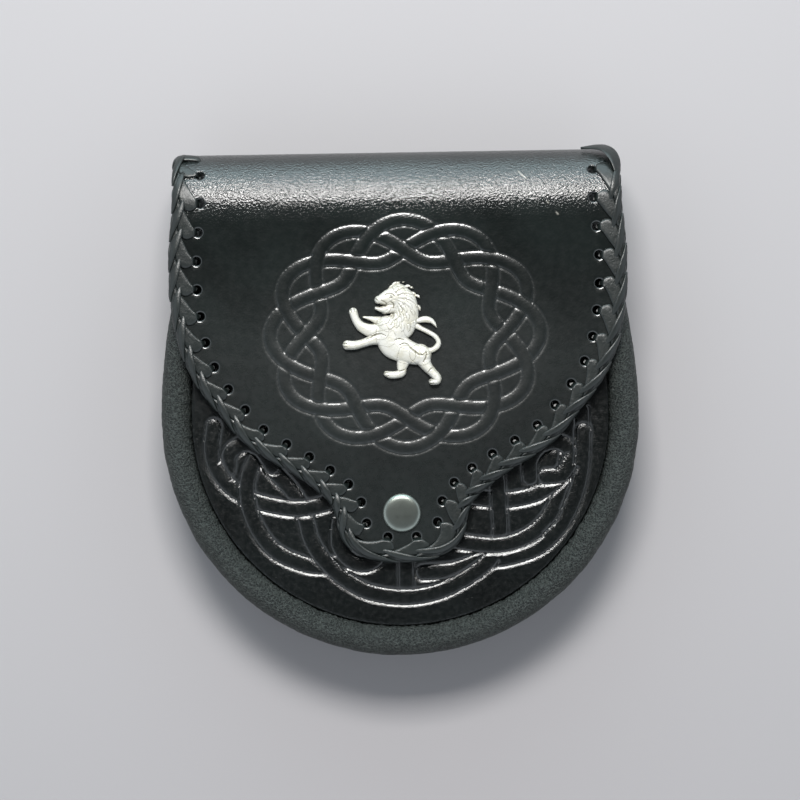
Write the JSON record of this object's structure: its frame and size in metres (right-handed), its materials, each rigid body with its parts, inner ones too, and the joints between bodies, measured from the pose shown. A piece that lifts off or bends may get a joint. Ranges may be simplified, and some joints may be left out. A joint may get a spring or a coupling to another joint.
{
  "type": "sporran pouch",
  "caption": "Round-bottomed black leather sporran pouch with laced flap, press stud tab, cast lion badge, rolled gusset rim and two belt loops behind.",
  "frame": {"origin": "middle of the footprint, on the surface that the pouch lies on", "axes": "+X to the right as seen from the front, +Y to the top of the pouch, +Z out of its face"},
  "size_m": [0.1854, 0.1958, 0.0502],
  "materials": {
    "tooled_leather": "stiff black tooled leather, waxed and glossy",
    "soft_leather": "soft black grained leather, matte",
    "lace_leather": "flat black lace, satin",
    "satin_nickel": "satin nickel, pearly grey",
    "bright_cast_metal": "bright cast white metal, warm in the hollows"
  },
  "bodies": {
    "root": {"back_and_flap": "tooled_leather", "front_panel": "tooled_leather", "gusset": "soft_leather", "edge_lacing": "lace_leather", "belt_loop_left": "tooled_leather", "belt_loop_right": "tooled_leather", "snap_cap": "satin_nickel", "snap_stud": "satin_nickel", "lion_badge": "bright_cast_metal"}
  },
  "joints": []
}
